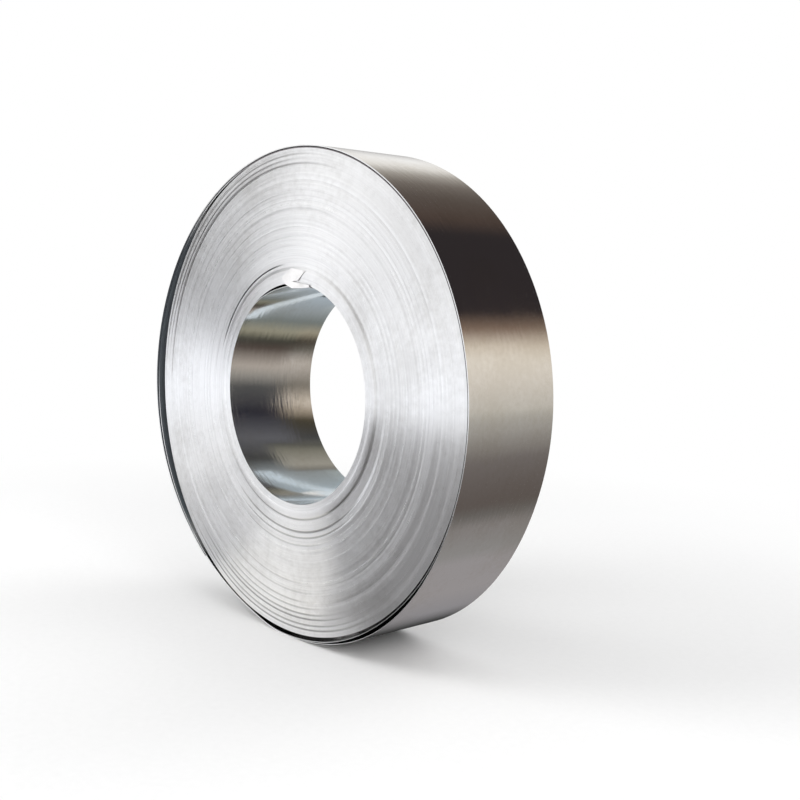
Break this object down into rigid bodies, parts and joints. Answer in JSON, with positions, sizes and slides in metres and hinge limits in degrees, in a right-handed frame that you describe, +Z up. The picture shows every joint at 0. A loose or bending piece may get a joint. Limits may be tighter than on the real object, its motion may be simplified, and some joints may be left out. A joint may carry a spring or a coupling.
{
  "type": "slit steel coil",
  "caption": "Slit coil of electro-galvanised steel strip with a round bore, lying on its round side.",
  "frame": {"origin": "on the floor, at the bottom centre of the coil's bounding box", "axes": "the coil's axis runs along Y, its front end faces -Y and +Z is up"},
  "size_m": [1.1606, 0.2553, 1.132],
  "materials": {
    "zinc_coated_steel": "electro-galvanised, smooth and semi-bright",
    "white_tape": "matt"
  },
  "bodies": {
    "root": {"wound_strip": "zinc_coated_steel", "tape_patch": "white_tape"}
  },
  "joints": []
}
